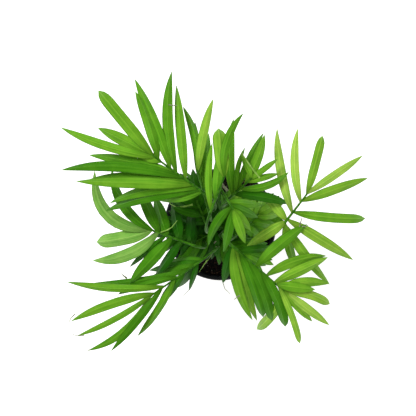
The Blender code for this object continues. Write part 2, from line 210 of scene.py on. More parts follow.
leafGreensAndShade = dict(
    a=("leafShadow", (0.004, 0.052, 0.001)),
    b=("leafDark", (0.010, 0.088, 0.002)),
    c=("leafDeep", (0.022, 0.134, 0.003)),
    d=("leafForest", (0.044, 0.190, 0.005)),
    e=("leafMid", (0.074, 0.250, 0.009)),
    f=("leafFresh", (0.108, 0.305, 0.014)),
    g=("leafBright", (0.148, 0.358, 0.022)),
    h=("leafLively", (0.198, 0.415, 0.034)),
    i=("leafSunlit", (0.262, 0.480, 0.058)),
    p=("leafPale", (0.150, 0.350, 0.056)),
)
leafFinish = dict(
    roughness=0.40, specular=0.22, glossTint=(0.45, 1.0, 0.16), patchScale=95.0, patchShare=0.45,
    deeper=(0.60, 0.76, 0.60), lighter=(1.55, 1.25, 1.5), streakLength=1.6, streakCount=6.5,
    streakSpread=60.0, streakShare=0.75, veinCount=7.0, veinShare=0.30, veinRelief=0.00022,
    midribWidth=0.07, midribLift=0.60, midribGain=(1.9, 1.45, 2.0), rootLength=0.30,
    rootPaintedShade=0.58, edgePaintedShade=0.62)


def leafMaterial(name, tint):
    graph = Graph(name)
    along, across, _ = graph.parts(graph.node("ShaderNodeUVMap", uv_map="bladePlan").outputs[0])
    wave = graph.math("SINE", graph.math("MULTIPLY", across, 2 * math.pi * leafFinish["veinCount"]))
    veins = graph.math("ADD", graph.math("MULTIPLY", wave, 0.5), 0.5)
    offMidrib = graph.math("ABSOLUTE", graph.math("SUBTRACT", across, 0.5))
    midrib = graph.ramp(offMidrib, 0.0, leafFinish["midribWidth"], 1.0, 0.0)
    patches = graph.grain(leafFinish["patchScale"], 3.0)
    shade = graph.node("ShaderNodeAttribute", attribute_name="shade").outputs["Fac"]
    lane = graph.node("ShaderNodeCombineXYZ")
    for key, value in zip("XYZ", (graph.math("MULTIPLY", along, leafFinish["streakLength"]),
                                  graph.math("MULTIPLY", across, leafFinish["streakCount"]),
                                  graph.math("MULTIPLY", shade, leafFinish["streakSpread"]))):
        graph.feed(lane.inputs[key], value)
    streaks = graph.grain(1.0, 2.5, place=lane.outputs[0])
    deeper = scaled(tint, leafFinish["deeper"])
    lighter = scaled(tint, leafFinish["lighter"])
    colour = graph.blend(graph.ramp(patches, 0.32, 0.70), deeper, lighter)
    colour = graph.blend(leafFinish["patchShare"], tint, colour)
    share = leafFinish["streakShare"]
    colour = graph.blend(graph.ramp(streaks, 0.50, 0.24, 0.0, share), colour, deeper)
    colour = graph.blend(graph.ramp(streaks, 0.52, 0.74, 0.0, share), colour, lighter)
    colour = graph.blend(graph.math("MULTIPLY", veins, leafFinish["veinShare"]), colour, lighter)
    lift = graph.math("MULTIPLY", midrib, leafFinish["midribLift"])
    colour = graph.blend(lift, colour, scaled(tint, leafFinish["midribGain"]))
    # painted shade: each blade darkens towards its root at the rib, where the crowded leaflets shade one
    # another
    paintedRootShade = graph.ramp(along, 0.0, leafFinish["rootLength"], leafFinish["rootPaintedShade"], 1.0)
    # painted shade: a darker margin along both edges of each blade, standing for the thin shadow lines
    # between overlapping leaflets
    paintedEdgeShade = graph.ramp(offMidrib, 0.40, 0.50, 1.0, leafFinish["edgePaintedShade"])
    level = graph.math("MULTIPLY", graph.math("MULTIPLY", paintedRootShade, paintedEdgeShade), shade)
    grey = graph.node("ShaderNodeCombineColor")
    for k in range(3):
        graph.feed(grey.inputs[k], level)
    colour = graph.blend(1.0, colour, grey.outputs[0], "MULTIPLY")
    roughness = graph.ramp(patches, 0.2, 0.8, leafFinish["roughness"] - 0.06,
                           leafFinish["roughness"] + 0.10)
    graph.coat(colour, roughness, leafFinish["specular"], leafFinish["glossTint"])
    height = graph.math("ADD", graph.math("MULTIPLY", veins, 0.7),
                        graph.math("MULTIPLY", graph.grain(900.0, 2.0), 0.3))
    graph.relief(height, leafFinish["veinRelief"], 0.55)
    return graph.material


def stalkMaterial(name, tint, darker):
    graph = Graph(name)
    streaks = graph.grain(260.0, 3.0, (1.0, 1.0, 0.12))
    spots = graph.grain(1500.0, 2.0)
    colour = graph.blend(graph.ramp(streaks, 0.35, 0.65), darker, tint)
    pale = scaled(tint, (1.6, 1.6, 1.6))
    colour = graph.blend(graph.ramp(spots, 0.62, 0.72, 0.0, 0.35), colour, pale)
    graph.coat(colour, graph.ramp(spots, 0.2, 0.8, 0.40, 0.60), leafFinish["specular"],
               leafFinish["glossTint"])
    graph.relief(streaks, 0.0003, 0.5)
    return graph.material


def dryMaterial():
    graph = Graph("dryTip")
    streaks = graph.grain(400.0, 3.0, (1.0, 1.0, 0.3))
    colour = graph.blend(graph.ramp(streaks, 0.3, 0.7), (0.13, 0.15, 0.08), (0.27, 0.30, 0.18))
    graph.coat(colour, 0.75)
    graph.relief(streaks, 0.0002, 0.5)
    return graph.material


leafKinds = list(leafGreensAndShade)
leafMaterials = [leafMaterial(*leafGreensAndShade[kind]) for kind in leafKinds]
ribMaterial = stalkMaterial("leafRib", (0.046, 0.170, 0.008), (0.016, 0.085, 0.003))
petioleMaterial = stalkMaterial("petioleGreen", (0.036, 0.140, 0.007), (0.012, 0.066, 0.003))
# painted highlight: a pale, lit-looking green for the strands that stand partly for leaf edges catching
# the light
shootHighlightMaterial = stalkMaterial("shootAndPaintedHighlight", (0.300, 0.480, 0.110), (0.170, 0.340, 0.050))
dryTip = dryMaterial()
print("leaf finishes ready")


# the palm's own sizes, in millimetres and degrees, as in the solids, and how far its greens vary

palm = dict(soilTop=97.0, clearance=0.3, footCircle=2.75, caneRadius=4.9, footRadius=1.5,
            neckRadius=1.3, tipRadius=0.85, ribSides=5, entryRise=0.55, entryShare=0.26,
            liftShare=0.5, ribArch=0.07, bowStep=3.5, bowRings=6, bowTurns=8, leafSegments=4,
            leafThickness=0.0118, leastThickness=0.7, strongBow=10.0, leafFold=0.10, arch=0.10,
            archShare=0.6, dropShape=1.6, nudgeShape=0.8, stationShape=0.75,
            leafGap=0.45, nudges=(0.0, 3.0, -3.0, 6.0, -6.0, 9.0, -9.0, 12.0, -12.0, 16.0, -16.0, 20.0),
            shortLeaf=60.0, tintSpread=1.2, lightest=8)

# name, place on the soil and height of each cane
canes = [("back", 6.0, 20.0, 34.0), ("back_left", -17.0, 13.0, 30.0),
         ("front_left", -20.0, -9.0, 24.0), ("front", -1.0, -20.0, 22.0),
         ("front_right", 18.0, -11.0, 27.0), ("middle", 1.0, 1.0, 36.0)]

# sag: how far the tips hang at the rib's base and at its end. Then the kinds of green there,
# darker at the rib's base as painted shade towards the crown's inside, with each leaflet's tint
# between them. Each leaflet is its place along the rib, its turn and its reach, and where it differs
# its sideways bow, then a share of the width, a lift of its tip, a blunt tip or a tint of its own,
# which is partly its own green and partly painted shade and light.
fronds = [
    dict(name="upper_left", cane=1, foot=150, base=(-19, 33, 286), heading=144, run=58, rise=6,
         sag=(42, 18), width=10, greenAndShadeRange="dg", leaflets=[
        (0.32, -48, 92, 0, dict(share=0.9)), (0.50, -51, 98, 6), (0.62, -32, 93, -2),
        (0.86, -35, 69, -3), (0.96, -14, 82, 0, dict(share=1.1, blunt=True)),
        (1.0, 9, 58, 0, dict(share=1.1)), (0.80, 13, 37), (0.92, 18, 95, 4, dict(share=0.85, tint="f")),
        (0.44, 23, 90, -2), (0.36, 32, 118, -7), (0.24, 34, 98, -3), (0.18, 34, 112),
        (0.08, 45, 86, -6, dict(lift=4)), (0.04, 48, 94, -4), (0.0, 38, 54, 6, dict(share=0.7, lift=-6)),
        (0.13, 32, 57, 0, dict(share=0.7, lift=-9))]),
    dict(name="crown", cane=5, foot=170, base=(-11, 14, 298), heading=69, run=35, rise=16,
         sag=(6, 15), width=9, greenAndShadeRange="ef", leaflets=[
        (0.04, 20, 63, 3, dict(share=0.7, tint="f")), (0.96, 27, 46, 0, dict(share=1.4, blunt=True)),
        (1.0, 4, 61, 7, dict(share=0.8)), (0.35, 15, 46)]),
    dict(name="front", cane=5, foot=50, base=(0, 33, 290), heading=-60, run=20, rise=10,
         sag=(42, 26), width=8.5, greenAndShadeRange="de", leaflets=[
        (0.82, -60, 42, -4), (0.96, -42, 41), (1.0, -10, 33), (0.92, 10, 27), (0.72, 36, 29),
        (0.55, 55, 32)]),
    dict(name="top_right", cane=0, foot=60, base=(10, 30, 268), heading=42, run=24, rise=8,
         sag=(27, 12), width=9.5, greenAndShadeRange="dg", leaflets=[
        (0.0, 47, 74, 4), (0.20, 23, 63, 2, dict(share=0.7)), (0.64, 26, 51, -2),
        (0.16, 36, 44, 3, dict(share=0.5)), (1.0, 72, 25, 0, dict(share=0.6)),
        (0.90, -5, 33, 0, dict(share=0.6)), (0.76, -27, 31, 0, dict(share=0.65)),
        (0.38, -23, 50, -6, dict(share=0.75)), (0.06, -52, 55, 2)]),
    dict(name="top", cane=1, foot=30, base=(-14, 20, 260), heading=106, run=35, rise=16,
         sag=(34, 20), width=8.5, greenAndShadeRange="ce", leaflets=[
        (0.80, -3, 70, -5, dict(tint="e")), (0.72, -11, 57, 0, dict(share=0.75)),
        (0.58, -8, 50, 0, dict(share=0.85, lift=-12)), (0.95, -28, 72, 2, dict(tint="h")),
        (0.46, -22, 55), (0.05, -15, 43, 2)]),
    dict(name="right", cane=4, foot=30, base=(59, 2, 248), heading=53, run=37, rise=8,
         sag=(34, 13), width=9, greenAndShadeRange="gh", leaflets=[
        (0.37, 46, 84, 4), (0.72, 38, 72, 5, dict(share=0.9)),
        (0.98, 21, 59, 0, dict(share=0.9, blunt=True)), (1.0, -19, 66, 0, dict(share=0.85)),
        (0.75, -34, 70), (0.40, -58, 73, -2, dict(blunt=True)), (0.16, -84, 78, 0, dict(share=1.1)),
        (0.02, -105, 77, -2), (0.05, -126, 48, -2),
        (0.10, 160, 44, 0, dict(share=1.15, lift=12, tint="h")), (0.13, 75, 36)]),
    dict(name="lower_right", cane=4, foot=-90, base=(9, -18, 256), heading=-41, run=71, rise=-6,
         sag=(28, 15), width=9.5, greenAndShadeRange="ch", leaflets=[
        (0.01, -62, 38), (0.03, -34, 74, -6, dict(lift=12, tint="f")),
        (0.07, -32, 75, -2, dict(tint="g")), (0.15, -29, 68, 1, dict(blunt=True, tint="d")),
        (0.28, -27, 66, 3, dict(blunt=True, tint="d")), (0.52, -25, 61, 3, dict(blunt=True, tint="d")),
        (0.84, -28, 61, 2, dict(share=0.65, blunt=True, tint="h")),
        (0.92, -6, 43, 0, dict(share=0.85, tint="g")), (0.97, 4, 54, 0, dict(share=0.85, tint="i")),
        (0.94, 24, 48, 4, dict(share=0.9, blunt=True, tint="h")), (0.88, 45, 47, 4), (0.80, 33, 38),
        (0.76, 65, 58, 0, dict(share=1.1)), (0.62, 58, 62, 5),
        (0.43, 80, 64, 2, dict(share=1.2, tint="e")), (0.11, 46, 36, 0, dict(share=0.75)),
        (0.21, 16, 25, 0, dict(share=0.8)), (0.96, -81, 48, 2, dict(lift=-28, blunt=True, tint="h"))]),
    dict(name="mid_left", cane=2, foot=202, base=(-27, -19, 226), heading=160, run=45, rise=-2,
         sag=(33, 19), width=11, greenAndShadeRange="be", leaflets=[
        (0.99, -26, 82, 20, dict(share=1.1, tint="p")), (0.95, -36, 74, 10, dict(share=0.9)),
        (0.81, -45, 50), (0.62, -51, 41, 0, dict(share=1.1)), (0.33, -59, 40),
        (0.09, -72, 36, 0, dict(share=0.9)), (0.97, 32, 58, 2, dict(share=1.25, blunt=True, tint="p")),
        (0.83, 43, 72, 8, dict(share=1.1, tint="p")), (0.65, 61, 49, 0, dict(share=0.55)),
        (0.51, 67, 63, 0, dict(share=1.1)), (0.30, 74, 46, 0, dict(share=0.8))]),
    dict(name="lower_left", cane=3, foot=216, base=(-17, -32, 214), heading=-145, run=65, rise=-4,
         sag=(33, 13), width=9, greenAndShadeRange="cf", leaflets=[
        (0.02, -28, 44), (0.09, -24, 52), (0.16, -17, 50), (0.28, -26, 99, 4, dict(share=0.8, tint="d")),
        (0.49, -18, 64, -2, dict(share=0.75)), (0.74, -37, 99, 4, dict(share=0.9, tint="f")),
        (0.93, -16, 89, -4), (0.96, -6, 88, 3, dict(share=0.7)), (1.0, 6, 85, 9, dict(share=0.85)),
        (0.78, 16, 82, 1, dict(share=0.85)), (0.55, 22, 70, 3, dict(share=0.85)),
        (0.12, 38, 30, 0, dict(share=0.6)), (0.37, 18, 45), (0.20, 21, 28)]),
    dict(name="inner_right", cane=4, foot=150, base=(18, -6, 206), heading=44, run=26, rise=4,
         sag=(30, 25), width=9.5, greenAndShadeRange="df", leaflets=[
        (1.0, -15, 24), (0.9, -41, 25), (0.62, -56, 27), (0.3, -83, 22), (0.84, 20, 25), (0.55, 35, 25),
        (0.17, 51, 26)]),
]

# young fronds inside the crown: cane, foot, lean of the petiole, heading and height of the
# blade, and its kinds of green, kept dark as painted shade deep inside the crown
youngFronds = [(0, 180, 150, 150, 190, "bd"), (0, 300, 5, 0, 172, "ce"),
               (1, 270, 205, 205, 184, "ac"), (2, 322, 335, 320, 152, "bd"),
               (3, 336, 350, 320, 148, "ce"), (5, 290, 222, 207, 176, "bd"),
               (2, 82, 112, 112, 208, "bd"), (3, 96, 60, 60, 168, "df")]
young = dict(pairs=7, inset=0.62, lean=9.0, run=24.0, rise=9.0, reach=33.0, width=8.4, sag=17.0,
             lastPair=0.96, partner=0.04, baseTurn=62, turnFall=44, turnWander=5, liftWander=3,
             leastShare=0.82, shareGain=0.36, fullest=1.4)


def flatDirection(heading):
    return Vector((math.cos(math.radians(heading)), math.sin(math.radians(heading)), 0))


def petioleFoot(frond):
    _, x, y, height = canes[frond["cane"]]
    return (Vector((x, y, palm["soilTop"] + 2 * palm["clearance"] + height))
            + palm["footCircle"] * flatDirection(frond["foot"]))


def stalkPath(frond, bow, petioleSteps=6, ribSteps=3):
    foot = petioleFoot(frond)
    base = Vector(frond["base"])
    ahead = flatDirection(frond["heading"])
    end = base + ahead * frond["run"] + Vector((0, 0, frond["rise"]))
    entry = (ahead + Vector((0, 0, palm["entryRise"]))).normalized()
    span = (base - foot).length
    lift = foot + Vector((bow[0], bow[1], palm["liftShare"] * span))
    near = base - entry * palm["entryShare"] * span
    path = []
    for k in range(petioleSteps):
        t = k / petioleSteps
        path.append((1 - t) ** 3 * foot + 3 * (1 - t) ** 2 * t * lift
                    + 3 * (1 - t) * t * t * near + t ** 3 * base)
    middle = (base + end) / 2 + Vector((0, 0, palm["ribArch"] * frond["run"]))
    for k in range(ribSteps + 1):
        t = k / ribSteps
        path.append((1 - t) ** 2 * base + 2 * (1 - t) * t * middle + t * t * end)
    return path, petioleSteps


def ribPoint(path, steps, along):
    position = steps + along * (len(path) - 1 - steps)
    k = min(int(position), len(path) - 2)
    return path[k].lerp(path[k + 1], position - k)


def stalkRadii(path, steps):
    last = len(path) - 1
    foot, neck, tip = palm["footRadius"], palm["neckRadius"], palm["tipRadius"]
    return [foot + (neck - foot) * k / steps if k < steps
            else neck + (tip - neck) * (k - steps) / (last - steps) for k in range(last + 1)]


# plain tubes and blades like those of the solids, built only to find each piece a free place

def joinRings(bm, rings):
    for low, high in zip(rings, rings[1:]):
        for j in range(len(low)):
            i = (j + 1) % len(low)
            bm.faces.new((low[j], low[i], high[i], high[j]))


def guardTube(path, radii, sides, first, last):
    bm = bmesh.new()
    rings = []
    side = Vector((1, 0, 0))
    for k, point in enumerate(path):
        along = (path[min(k + 1, len(path) - 1)] - path[max(k - 1, 0)]).normalized()
        if k == 0:
            along = first
        elif k == len(path) - 1:
            along = last
        side = (side - along * side.dot(along)).normalized()
        other = along.cross(side)
        rings.append([bm.verts.new((point + radii[k] * (
            side * math.cos(2 * math.pi * j / sides) + other * math.sin(2 * math.pi * j / sides)))
            * mm) for j in range(sides)])
    joinRings(bm, rings)
    bm.faces.new(list(reversed(rings[0])))
    bm.faces.new(rings[-1])
    return searchTree(bm)


def guardTubes(path, steps, radii, sides):
    bend = steps - 1
    square = (path[bend + 1] - path[bend - 1]).normalized()
    half = square * palm["clearance"] / 2
    lower = path[:bend] + [path[bend] - half]
    upper = [path[bend] + half] + path[bend + 1:]
    tip = (path[-1] - path[-2]).normalized()
    return (guardTube(lower, radii[:bend + 1], sides, Vector((0, 0, 1)), square),
            guardTube(upper, radii[bend:], sides, square, tip))


def searchTree(bm):
    tree = BVHTree.FromBMesh(bm)
    bm.free()
    return tree


def stations(segments):
    evenly = [1 - 2 * k / segments for k in range(segments + 1)]
    return [0.5 - 0.5 * math.copysign(abs(t) ** palm["stationShape"], t) for t in evenly]


def leafPoint(start, leaf, nudge, u):
    arch = 4 * u * (1 - u)
    height = (palm["archShare"] * palm["arch"] * leaf["reach"] * arch
              - leaf["drop"] * u ** palm["dropShape"] + nudge * u ** palm["nudgeShape"])
    return (start + leaf["reach"] * u * flatDirection(leaf["heading"])
            + leaf["bow"] * arch * flatDirection(leaf["heading"] + 90) + Vector((0, 0, height)))


guard = dict(rootWidth=1.1, rise=0.25, riseShape=0.7, taper=3.6, bluntTaper=6.5, rootThickness=0.75,
             footSpare=0.1, rootSkip=0.8, leafSpare=0.1, lastResort=16)


def widthAt(u, width, blunt, shape):
    rise, root = shape["rise"], shape["rootWidth"]
    if u < rise:
        return root + (width - root) * math.sin(math.pi / 2 * u / rise) ** shape["riseShape"]
    return width * (1 - ((u - rise) / (1 - rise)) ** shape["bluntTaper" if blunt else "taper"])


def bladeFrame(points, k):
    ahead = (points[k + 1] - points[max(k - 1, 0)]).normalized()
    side = Vector((-ahead.y, ahead.x, 0)).normalized()
    up = ahead.cross(side)
    if up.z < 0:
        up.negate()
    return side, up


def guardBlade(points, width, blunt, thickness, spare):
    bm = bmesh.new()
    rings = []
    last = len(points) - 1
    places = stations(last)
    for k in range(last):
        side, up = bladeFrame(points, k)
        half = widthAt(places[k], width, blunt, guard) / 2 + spare
        thick = thickness / 2 * (guard["rootThickness"] if k == 0 else 1.0) + spare
        fold = 0.0 if k == 0 else palm["leafFold"] * half * 2
        rings.append([bm.verts.new(p * mm) for p in (
            points[k] + side * half - up * fold, points[k] + up * thick,
            points[k] - side * half - up * fold, points[k] - up * thick)])
    tip = bm.verts.new(points[-1] * mm)
    joinRings(bm, rings)
    for j in range(4):
        bm.faces.new((rings[-1][j], rings[-1][(j + 1) % 4], tip))
    bm.faces.new(list(reversed(rings[0])))
    bmesh.ops.triangulate(bm, faces=bm.faces)
    return searchTree(bm)


def settleStalks(grown):
    placed = []
    for frond in grown:
        for ring, k in [(ring, k) for ring in range(palm["bowRings"])
                        for k in range(palm["bowTurns"] if ring else 1)]:
            angle = 2 * math.pi * k / palm["bowTurns"]
            bow = (ring * palm["bowStep"] * math.cos(angle), ring * palm["bowStep"] * math.sin(angle))
            path, steps = stalkPath(frond, bow)
            radii = [r + palm["leafGap"] for r in stalkRadii(path, steps)]
            radii[0] = palm["footRadius"] + guard["footSpare"]
            trees = guardTubes(path, steps, radii, palm["ribSides"] + 1)
            if not any(tree.overlap(other) for tree in trees for pair in placed for other in pair):
                break
        placed.append(trees)
        frond["path"], frond["steps"], frond["bow"] = path, steps, bow
    return placed


def makeYoungFronds():
    grown = []
    for number, (cane, foot, lean, heading, height, greenAndShadeRange) in enumerate(youngFronds):
        _, x, y, _ = canes[cane]
        base = young["inset"] * Vector((x, y, 0)) + young["lean"] * flatDirection(lean)
        leaflets = []
        for pair in range(young["pairs"]):
            along = young["lastPair"] * pair / (young["pairs"] - 1)
            turn = (young["baseTurn"] - young["turnFall"] * along
                    + young["turnWander"] * math.sin(3 * number + pair))
            reach = young["reach"] * (young["leastShare"]
                                      + young["shareGain"] * along * (young["fullest"] - along))
            lift = young["liftWander"] * math.cos(5 * number + pair)
            leaflets += [(along, turn, reach, 0, dict(lift=lift)),
                         (along + young["partner"], -turn, reach, 0, dict(lift=lift))]
        grown.append(dict(name="young_%d" % (number + 1), cane=cane, foot=foot,
                          base=(base.x, base.y, height), heading=heading, run=young["run"],
                          rise=young["rise"], sag=(young["sag"],) * 2, width=young["width"],
                          greenAndShadeRange=greenAndShadeRange, leaflets=leaflets))
    return grown


def leafletSizes(frond, number, along, turn, reach, bow=0, changes=None):
    changes = changes or {}
    low, high = frond["sag"]
    drop = (low + (high - low) * along) * min(1.0, 0.5 + 0.5 * reach / palm["shortLeaf"])
    # the tint steps from the darker kind at the rib's base to the lighter kind at its end, which is
    # painted shade towards the crown's inside, with a random spread
    rng = random.Random("%s tint %d" % (frond["name"], number))
    first, last = (leafKinds.index(kind) for kind in frond["greenAndShadeRange"])
    step = round(first + (last - first) * along + rng.uniform(-1, 1) * palm["tintSpread"])
    return dict(along=along, heading=frond["heading"] + turn, reach=reach, bow=bow,
                drop=drop - changes.get("lift", 0.0),
                width=frond["width"] * changes.get("share", 1.0),
                blunt=changes.get("blunt", False),
                tint=changes.get("tint", leafKinds[max(0, min(step, palm["lightest"]))]))


def settleLeaflets(grown, stalks):
    others = []
    for number, frond in enumerate(grown):
        frond["kept"] = []
        for place, row in enumerate(frond["leaflets"]):
            leaf = leafletSizes(frond, place, *row)
            frond["kept"].append(leaf)
            start = ribPoint(frond["path"], frond["steps"], leaf["along"])
            segments = palm["leafSegments"] + (2 if abs(leaf["bow"]) > palm["strongBow"] else 0)
            thickness = max(palm["leastThickness"], palm["leafThickness"] * leaf["reach"])
            outline = (leaf["width"], leaf["blunt"], thickness)
            for nudge in palm["nudges"]:
                points = [leafPoint(start, leaf, nudge, u) for u in stations(segments)]
                tree = guardBlade(points, *outline, palm["leafGap"])
                outer = guardBlade([points[0].lerp(points[1], guard["rootSkip"])] + points[1:],
                                   *outline, guard["leafSpare"])
                onStalk = tree.overlap(stalks[number][0]) or any(
                    k != number and (tree.overlap(low) or tree.overlap(high))
                    for k, (low, high) in enumerate(stalks))
                if onStalk or any(k != number and tree.overlap(other) for k, other in others):
                    continue
                onSister = any(k == number and outer.overlap(other) for k, other in others)
                if onSister and nudge < guard["lastResort"]:
                    continue
                others.append((number, tree))
                leaf["nudge"] = nudge
                break
            else:
                # no free place among the others: it stays, tucked in where it grows
                leaf["nudge"] = 0.0


fronds += makeYoungFronds()
stalkGuards = settleStalks(fronds)
settleLeaflets(fronds, stalkGuards)
print("fronds settled:", len(fronds), "leaflets:", sum(len(f["kept"]) for f in fronds))


# leaflets: pleated blades with a raised midrib, closed and thin

def pieceFromBmesh(name, bm, materials, sharp=None):
    bmesh.ops.recalc_face_normals(bm, faces=bm.faces)
    mesh = bpy.data.meshes.new(name)
    bm.to_mesh(mesh)
    bm.free()
    for material in materials:
        mesh.materials.append(material)
    for face in mesh.polygons:
        face.use_smooth = True
    if sharp:
        mesh.set_sharp_from_angle(angle=math.radians(sharp))
    return linkObject(name, mesh)


blade = dict(steps=15, columns=9, thickness=0.34, fold=0.21, pleat=0.013, roll=13.0, twist=14.0,
             ripple=0.5, rippleCount=9, rise=0.40, riseShape=0.80, taper=3.0, bluntTaper=11.0,
             rootWidth=1.8, widen=1.04, curl=3.2, curlStart=0.84, curlLength=0.16)


def addBlade(bm, planLayer, shadeLayer, start, leaf, seed, materialIndex):
    chance = random.Random(seed)
    steps, columns = blade["steps"], blade["columns"]
    rollStart = math.radians(chance.uniform(-1, 1) * blade["roll"])
    twist = math.radians(chance.uniform(-1, 1) * blade["twist"])
    phase = chance.uniform(0, 6.28)
    shade = chance.uniform(0.90, 1.10)
    width = leaf["width"] * blade["widen"]
    places = stations(steps)
    points = []
    for u in places:
        point = leafPoint(start, leaf, leaf["nudge"], u)
        if leaf["blunt"] and u > blade["curlStart"]:
            point.z -= blade["curl"] * ((u - blade["curlStart"]) / blade["curlLength"]) ** 2
        points.append(point)
    rings = []
    for k in range(steps):
        u = places[k]
        side, up = bladeFrame(points, k)
        turn = (rollStart + twist * u) * min(1.0, u * 5)
        tiltedSide = side * math.cos(turn) + up * math.sin(turn)
        tiltedUp = up * math.cos(turn) - side * math.sin(turn)
        half = widthAt(u, width, leaf["blunt"], blade) / 2
        thick = blade["thickness"] / 2
        wave = blade["ripple"] * math.sin(phase + u * blade["rippleCount"]) * min(1, u * 3) * half / 5
        top, bottom = [], []
        for j in range(columns):
            t = 1 - 2 * j / (columns - 1)
            sag = blade["fold"] * abs(t) * half * 2 * min(1.0, u * 4 + 0.15)
            pleat = blade["pleat"] * half * 2 * (1 if j % 2 == 0 else -1) * min(1.0, u * 4)
            lift = -sag + pleat + wave * t
            spot = points[k] + tiltedSide * half * t + tiltedUp * lift
            top.append((bm.verts.new((spot + tiltedUp * thick) * mm), t))
            bottom.append((bm.verts.new((spot - tiltedUp * thick) * mm), t))
        rings.append(top + bottom[::-1])
    tip = bm.verts.new(points[-1] * mm)
    count = 2 * columns

    def addFace(corners):
        face = bm.faces.new([c[0] for c in corners])
        face.material_index = materialIndex
        for loop, corner in zip(face.loops, corners):
            loop[planLayer].uv = (corner[2], 0.5 + 0.5 * corner[1])
        face[shadeLayer] = shade

    for k in range(steps - 1):
        for j in range(count):
            i = (j + 1) % count
            addFace([(*rings[k][j], places[k]), (*rings[k][i], places[k]),
                     (*rings[k + 1][i], places[k + 1]), (*rings[k + 1][j], places[k + 1])])
    for j in range(count):
        i = (j + 1) % count
        addFace([(*rings[-1][j], places[-2]), (*rings[-1][i], places[-2]), (tip, 0.0, 1.0)])
    for j in range(columns - 1):
        pair = count - 1 - j
        addFace([(*rings[0][j], 0.0), (*rings[0][pair], 0.0), (*rings[0][pair - 1], 0.0),
                 (*rings[0][j + 1], 0.0)])


# geometry nodes: a tube along every stalk, its radius from the curve

def newTree(name, inputs):
    tree = bpy.data.node_groups.new(name, "GeometryNodeTree")
    tree.interface.new_socket("Geometry", in_out="INPUT", socket_type="NodeSocketGeometry")
    tree.interface.new_socket("Geometry", in_out="OUTPUT", socket_type="NodeSocketGeometry")
    for label, kind, value in inputs:
        socket = tree.interface.new_socket(label, in_out="INPUT", socket_type=kind)
        socket.default_value = value
    source = tree.nodes.new("NodeGroupInput")
    sink = tree.nodes.new("NodeGroupOutput")
    return tree, source, sink


# a link's key is the input's name, or i and its number where several share a name
def addNode(tree, kind, settings=None, **links):
    node = tree.nodes.new(kind)
    for key, value in (settings or {}).items():
        setattr(node, key, value)
    for key, value in links.items():
        socket = node.inputs[int(key[1:])] if key[0] == "i" and key[1:].isdigit() else node.inputs[key]
        if isinstance(value, bpy.types.Node):
            value = value.outputs[0]
        if isinstance(value, bpy.types.NodeSocket):
            tree.links.new(value, socket)
        else:
            socket.default_value = value
    return node


def bakeNodes(obj, tree, values, name):
    modifier = obj.modifiers.new(tree.name, "NODES")
    modifier.node_group = tree
    for item in tree.interface.items_tree:
        if item.item_type == "SOCKET" and item.in_out == "INPUT" and item.name in values:
            modifier[item.identifier] = values[item.name]
    mesh = plainMesh(obj, name)
    bpy.data.objects.remove(obj)
    return linkObject(name, mesh)


def sweptTube(tree, curve, sides, radius):
    ring = addNode(tree, "GeometryNodeCurvePrimitiveCircle", {"mode": "RADIUS"}, Resolution=sides,
                   Radius=radius)
    return addNode(tree, "GeometryNodeCurveToMesh",
                   **{"Curve": curve, "Profile Curve": ring, "Fill Caps": True})


def finishTree(tree, sink, geometry, material):
    paint = addNode(tree, "GeometryNodeSetMaterial", Geometry=geometry, Material=material)
    tree.links.new(paint.outputs["Geometry"], sink.inputs["Geometry"])
    return tree


def stalkTree(material):
    tree, source, sink = newTree("stalkTubes", [("Sides", "NodeSocketInt", 10)])
    sweep = sweptTube(tree, source.outputs["Geometry"], source.outputs["Sides"], 1.0)
    if "Scale" in sweep.inputs:
        radius = tree.nodes.new("GeometryNodeInputRadius")
        tree.links.new(radius.outputs[0], sweep.inputs["Scale"])
    plain = addNode(tree, "GeometryNodeRealizeInstances", Geometry=sweep)
    smooth = addNode(tree, "GeometryNodeSetShadeSmooth", Geometry=plain)
    return finishTree(tree, sink, smooth, material)


def curveObject(name, strands):
    data = bpy.data.curves.new(name, "CURVE")
    data.dimensions = "3D"
    for strand in strands:
        spline = data.splines.new("POLY")
        spline.points.add(len(strand) - 1)
        for spot, (point, radius) in zip(spline.points, strand):
            spot.co = (*(Vector(point) * mm), 1.0)
            spot.radius = radius * mm
    return linkObject(name, data)


stalk = dict(petioleSteps=30, ribSteps=14, sides=10, ribSides=8, wispSides=6, sheathHeight=17.0,
             sheathRadius=2.75, sheathSteps=4, sheathInset=0.35, sheathPinch=0.92, sheathGrowth=0.08,
             sheathFlare=1.6, sink=9.0)


def fineStalk(frond):
    path, steps = stalkPath(frond, frond["bow"], stalk["petioleSteps"], stalk["ribSteps"])
    return path, steps, stalkRadii(path, steps)


def petioleStrand(frond):
    path, steps, radii = fineStalk(frond)
    foot = path[0]
    _, x, y, _ = canes[frond["cane"]]
    inward = Vector((x, y, foot.z)) - foot
    strand = []
    for k in range(stalk["sheathSteps"]):
        t = k / stalk["sheathSteps"]
        strand.append((foot + inward * stalk["sheathInset"] * (1 - t)
                       - Vector((0, 0, stalk["sink"] * (1 - t))),
                       stalk["sheathRadius"] * (stalk["sheathPinch"] + stalk["sheathGrowth"] * t)))
    for point, radius in zip(path[:steps + 1], radii[:steps + 1]):
        rise = (point.z - foot.z) / stalk["sheathHeight"]
        flare = (stalk["sheathRadius"] - radius) * max(0.0, 1 - rise) ** stalk["sheathFlare"]
        strand.append((point, radius + flare))
    return strand


def buildLeaflets(frond):
    bm = bmesh.new()
    planLayer = bm.loops.layers.uv.new("bladePlan")
    shadeLayer = bm.faces.layers.float.new("shade")
    path, steps, _ = fineStalk(frond)
    for number, leaf in enumerate(frond["kept"]):
        start = ribPoint(path, steps, leaf["along"])
        seed = "%s %d" % (frond["name"], number)
        addBlade(bm, planLayer, shadeLayer, start, leaf, seed, leafKinds.index(leaf["tint"]))
    return pieceFromBmesh("leaflets_" + frond["name"], bm, leafMaterials, sharp=50)


